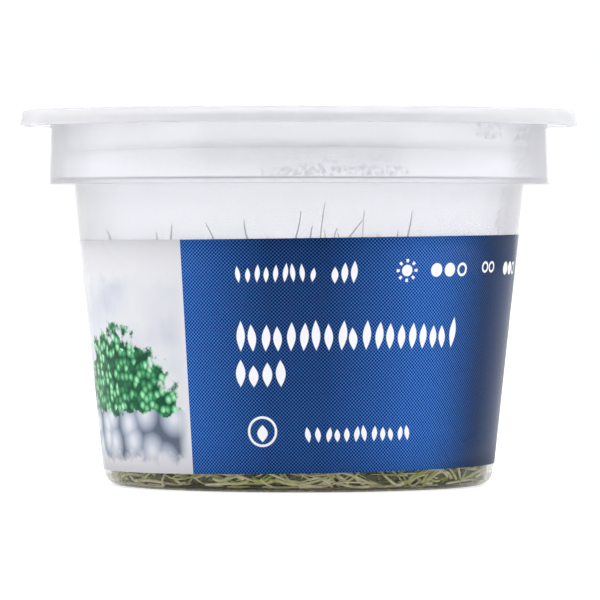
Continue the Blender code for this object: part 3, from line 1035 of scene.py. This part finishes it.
def buildTufts():
    rng = random.Random(grass["seed"])
    unit = unitStrand(*grass["blade"])
    material = livingTissue("grass blades", grass)
    outerRing = grass["rings"][-1][0]
    places = []
    for ring, (radius, count) in enumerate(grass["rings"]):
        for i in range(count):
            places.append((2 * math.pi * (i + 0.5 * ring) / count, radius))
    for number, (turn, radius) in enumerate(places, 1):
        node = f"tuft_{number:02d}"
        shape = bmesh.new()
        place = around(turn, radius, grass["foot"])
        highest = min(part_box(node)[1].z, grass["hiddenTip"])
        for i in range(grass["blades"]):
            aim = rng.uniform(0, 2 * math.pi)
            share = math.sqrt((i + 0.5) / grass["blades"])  # short blades outside, tall ones inside
            start = place + around(aim, grass["crown"] * share, rng.uniform(0, grass["footSpread"]) * mm)
            start.z = grass["foot"] + rng.uniform(0, grass["footSpread"]) * mm
            height = (highest - start.z) * (1.0 - 0.6 * share * rng.random())
            lean = grass["spread"] * share * rng.uniform(0.5, 1.25)
            tip = start + around(aim, lean, 0.0)
            tip.z = start.z + height
            tip = heldIn(tip, grass["clearance"])
            bow = rng.uniform(-grass["bow"], grass["bow"])
            width = grass["width"] * rng.uniform(*grass["widths"])
            growBlade(shape, unit, start, tip, bow, width, rng.random())
        for i in range(grass["wallBlades"] if radius == outerRing else 0):
            reach = grass["crown"] * rng.random()
            start = place + around(turn, reach, rng.uniform(0, grass["footSpread"]) * mm)
            height = highest * rng.uniform(0.6, 1.0)
            side = turn + math.radians(rng.uniform(-grass["wallSpread"], grass["wallSpread"]))
            tip = around(side, innerRadius(height) - grass["clearance"], height)
            bow = rng.uniform(-grass["wallBow"], grass["wallBow"])
            growBlade(shape, unit, start, tip, bow, grass["width"], rng.random())
        for row in grass["tips"]:
            gap = (row[0] - math.degrees(turn) + 180) % 360 - 180
            if radius == outerRing and abs(gap) <= grass["tipSpread"]:
                growTallBlade(shape, unit, row)
        piece = addPiece(f"tuft{number:02d}", shape, material)
        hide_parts(node)


# Condensation: beads of water on the inside of the wall, where the photograph shows them.
water = {
    "patches": (  # angle from and to, height from and to, beads, how far they stand out for their width
        (-9, 26, 52.4, 54.0, 150, 0.2),
        (-2, 24, 53.4, 55.8, 80, 0.2),
        (60, 80, 53.2, 60.6, 260, 1.0),
        (44, 54, 58.8, 61.2, 50, 1.0),
        (64, 88, 43.0, 51.0, 280, 1.0),
    ),
    "small": 0.11 * mm,
    "large": 0.34 * mm,
    "gap": 0.01 * mm,
    "sag": 1.15,
    "beadSteps": (8, 5),
    "tint": "#FAFBFD",
    "roughness": 0.06,
    "film": 1 * mm,
    "ior": 1.33,
    "seed": 3,
}


def stillWater():
    # Water: clear and very smooth, so each bead is a small lens with a bright spot.
    material, tree = newMaterial("condensed water")
    coords = addNode(tree, "TexCoord")
    film = addNode(tree, "TexNoise", None, {
        "Vector": coords.outputs["Object"], "Scale": 1 / water["film"],
    })
    gloss = addNode(tree, "MapRange", None, {"Value": film, "To Max": water["roughness"]})
    shader = addNode(tree, "BsdfPrincipled", None, {
        "Base Color": linear(water["tint"]), "Roughness": gloss,
        "IOR": water["ior"], "Transmission Weight": 1.0,
    })
    return surfaced(material, shader)


def buildWater():
    rng = random.Random(water["seed"])
    bead = bmesh.new()
    about, tall = water["beadSteps"]
    bmesh.ops.create_uvsphere(bead, u_segments=about, v_segments=tall, radius=1.0)
    unit = bpy.data.meshes.new("unitBead")
    bead.to_mesh(unit)
    bead.free()
    shape = bmesh.new()
    ledge = cup["shoulder"] + cup["ledge"]
    for fromAngle, toAngle, fromZ, toZ, count, standing in water["patches"]:
        for i in range(count):
            angle = math.radians(rng.uniform(fromAngle, toAngle))
            z = rng.uniform(fromZ, toZ) * mm
            size = water["small"] + (water["large"] - water["small"]) * rng.random() ** 2
            inside = innerRadius(z)
            if z > ledge:
                taper = cup["collarTaper"] * (z - ledge) / (cup["top"] - ledge)
                inside = cup["collarRadius"] - cup["wall"] - taper
            depth = size * standing
            place = around(angle, inside - depth - water["gap"], z)
            first = len(shape.verts)
            shape.from_mesh(unit)
            shape.verts.ensure_lookup_table()
            turn = Matrix.Rotation(angle, 3, "Z")
            for vert in shape.verts[first:]:
                shaped = Vector((vert.co.x * size, vert.co.y * depth, vert.co.z * size * water["sag"]))
                vert.co = place + turn @ shaped
    addPiece("condensation", shape, stillWater())


buildStudio()
buildCamera()
print("studio and camera are set")
buildCup()
buildLid()
print("cup and lid are turned")
buildLabel()
print("label is wrapped and printed")
buildRootMat()
buildRunners()
print("roots are laid")
buildTufts()
print("grass is grown")
buildWater()
print("condensation is set")
